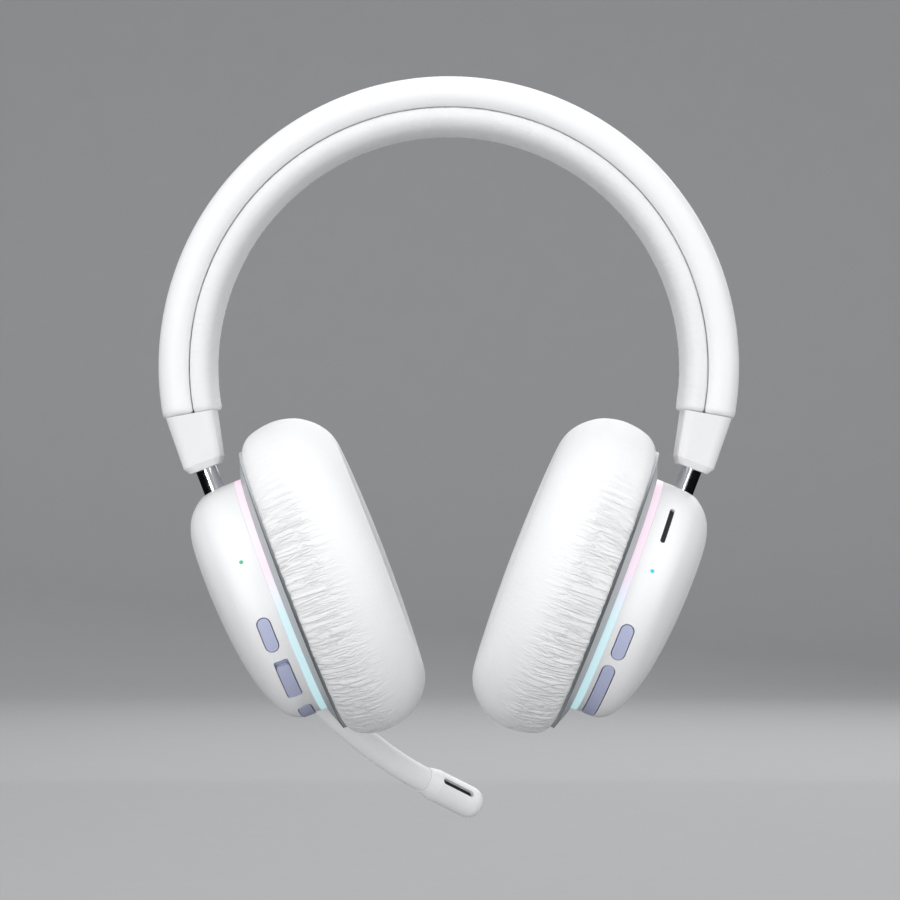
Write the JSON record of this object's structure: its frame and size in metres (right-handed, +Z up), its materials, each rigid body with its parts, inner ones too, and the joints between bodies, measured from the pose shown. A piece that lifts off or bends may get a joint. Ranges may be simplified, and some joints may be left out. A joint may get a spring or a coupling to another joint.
{
  "type": "gaming headset",
  "caption": "Over-ear headset: padded arched band on chrome sliders, tilting and swivelling cups with rim controls, plug-in boom microphone.",
  "frame": {"origin": "head rest: the underside of the band pad at the top of the arch", "axes": "+Z up, +Y the way the wearer faces, +X to the wearer's right (right-hand side seen from behind)"},
  "size_m": [0.1722, 0.1175, 0.2273],
  "materials": {
    "cover_leatherette": "smooth",
    "pad_leatherette": "grained",
    "cushion_leatherette": "wrinkled",
    "white_plastic": "satin",
    "boom_skin": "satin",
    "trim_plastic": "satin",
    "key_plastic": "satin",
    "frame_nylon": "matt",
    "spring_steel": "brushed",
    "polished_chrome": "polished",
    "pivot_metal": "satin",
    "light_diffuser": "translucent, lit",
    "baffle_plastic": "matt",
    "screw_steel": "satin",
    "scrim_cloth": "woven",
    "driver_metal": "satin",
    "cone_film": "satin",
    "board_laminate": "satin",
    "lamp_green": "lit",
    "lamp_cyan": "lit",
    "socket_plastic": "matt",
    "socket_metal": "satin",
    "dark_mesh": "matt",
    "battery_wrap": "satin",
    "capsule_metal": "satin"
  },
  "bodies": {
    "headband": {"headband_cover": "cover_leatherette", "headband_frame": "frame_nylon", "headband_spring": "spring_steel", "headband_pad": "pad_leatherette", "band_end_left": "white_plastic", "band_end_right": "white_plastic", "slider_guide_left": "frame_nylon", "slider_guide_right": "frame_nylon"},
    "rod_left": {"slider_rod_left": "polished_chrome", "rod_foot_left": "polished_chrome"},
    "rod_right": {"slider_rod_right": "polished_chrome", "rod_foot_right": "polished_chrome"},
    "pivot_left": {"swivel_block_left": "pivot_metal"},
    "pivot_right": {"swivel_block_right": "pivot_metal"},
    "cup_left": {"hinge_bracket_left": "frame_nylon", "light_ring_left": "light_diffuser", "trim_ring_left": "trim_plastic", "baffle_left": "baffle_plastic", "baffle_screws_left": "screw_steel", "ear_cushion_left": "cushion_leatherette", "cushion_ring_left": "trim_plastic", "speaker_scrim_left": "scrim_cloth", "driver_left": "driver_metal", "driver_cone_left": "cone_film", "circuit_board_left": "board_laminate", "cup_shell_left": "white_plastic", "status_light_left": "lamp_green", "mic_socket": "socket_plastic", "audio_socket": "socket_plastic"},
    "cup_right": {"hinge_bracket_right": "frame_nylon", "light_ring_right": "light_diffuser", "trim_ring_right": "trim_plastic", "baffle_right": "baffle_plastic", "baffle_screws_right": "screw_steel", "ear_cushion_right": "cushion_leatherette", "cushion_ring_right": "trim_plastic", "speaker_scrim_right": "scrim_cloth", "driver_right": "driver_metal", "driver_cone_right": "cone_film", "circuit_board_right": "board_laminate", "cup_shell_right": "white_plastic", "status_light_right": "lamp_cyan", "vent_mesh": "dark_mesh", "charging_socket": "socket_metal", "battery": "battery_wrap"},
    "power_key": {"power_button": "key_plastic"},
    "mute_slider": {"mute_switch": "key_plastic"},
    "mode_key": {"mode_button": "key_plastic"},
    "boom": {"mic_plug": "socket_metal", "boom_arm": "boom_skin", "mic_head": "white_plastic", "mic_grille": "dark_mesh", "mic_capsule": "capsule_metal"},
    "pairing_key": {"pairing_button": "key_plastic"},
    "volume_key": {"volume_rocker": "key_plastic"}
  },
  "joints": [
    {"name": "slider_left", "type": "slide", "parent": "headband", "child": "rod_left", "axis": [0.3584, 0, -0.9336], "range_m": [0, 0.018]},
    {"name": "swivel_left", "type": "hinge", "parent": "rod_left", "child": "pivot_left", "pos_m": [-0.06828, 0, -0.1094], "axis": [-0.3584, 0, 0.9336], "range_deg": [-10, 10]},
    {"name": "tilt_left", "type": "hinge", "parent": "pivot_left", "child": "cup_left", "pos_m": [-0.06828, 0, -0.1094], "axis": [0, 1, 0], "range_deg": [-1.5, 10]},
    {"name": "slider_right", "type": "slide", "parent": "headband", "child": "rod_right", "axis": [-0.3584, 0, -0.9336], "range_m": [0, 0.018]},
    {"name": "swivel_right", "type": "hinge", "parent": "rod_right", "child": "pivot_right", "pos_m": [0.06828, 0, -0.1094], "axis": [0.3584, 0, 0.9336], "range_deg": [-10, 10]},
    {"name": "tilt_right", "type": "hinge", "parent": "pivot_right", "child": "cup_right", "pos_m": [0.06828, 0, -0.1094], "axis": [0, -1, 0], "range_deg": [-1.5, 10]},
    {"name": "power_press", "type": "slide", "parent": "cup_left", "child": "power_key", "axis": [-0.0845, 0.9718, 0.2202], "range_m": [0, 0.0004], "stiffness_N_per_m": 1500, "springref_m": -0.0005},
    {"name": "mute_slide", "type": "slide", "parent": "cup_left", "child": "mute_slider", "axis": [-0.2792, -0.6268, 0.7274], "range_m": [0, 0.0016]},
    {"name": "mode_press", "type": "slide", "parent": "cup_left", "child": "mode_key", "axis": [-0.3489, 0.2284, 0.9089], "range_m": [0, 0.0004], "stiffness_N_per_m": 1500, "springref_m": -0.0005},
    {"name": "mic_pull", "type": "slide", "parent": "cup_left", "child": "boom", "axis": [0.2462, 0.7267, -0.6413], "range_m": [0, 0.014]},
    {"name": "pairing_press", "type": "slide", "parent": "cup_right", "child": "pairing_key", "axis": [0.1103, 0.9514, 0.2874], "range_m": [0, 0.0004], "stiffness_N_per_m": 1500, "springref_m": -0.0005},
    {"name": "volume_rock", "type": "hinge", "parent": "cup_right", "child": "volume_key", "pos_m": [0.04416, -0.01746, -0.16331], "axis": [0.9336, 0, -0.3584], "range_deg": [-1.5, 1.5], "stiffness_Nm_per_rad": 0.9}
  ]
}
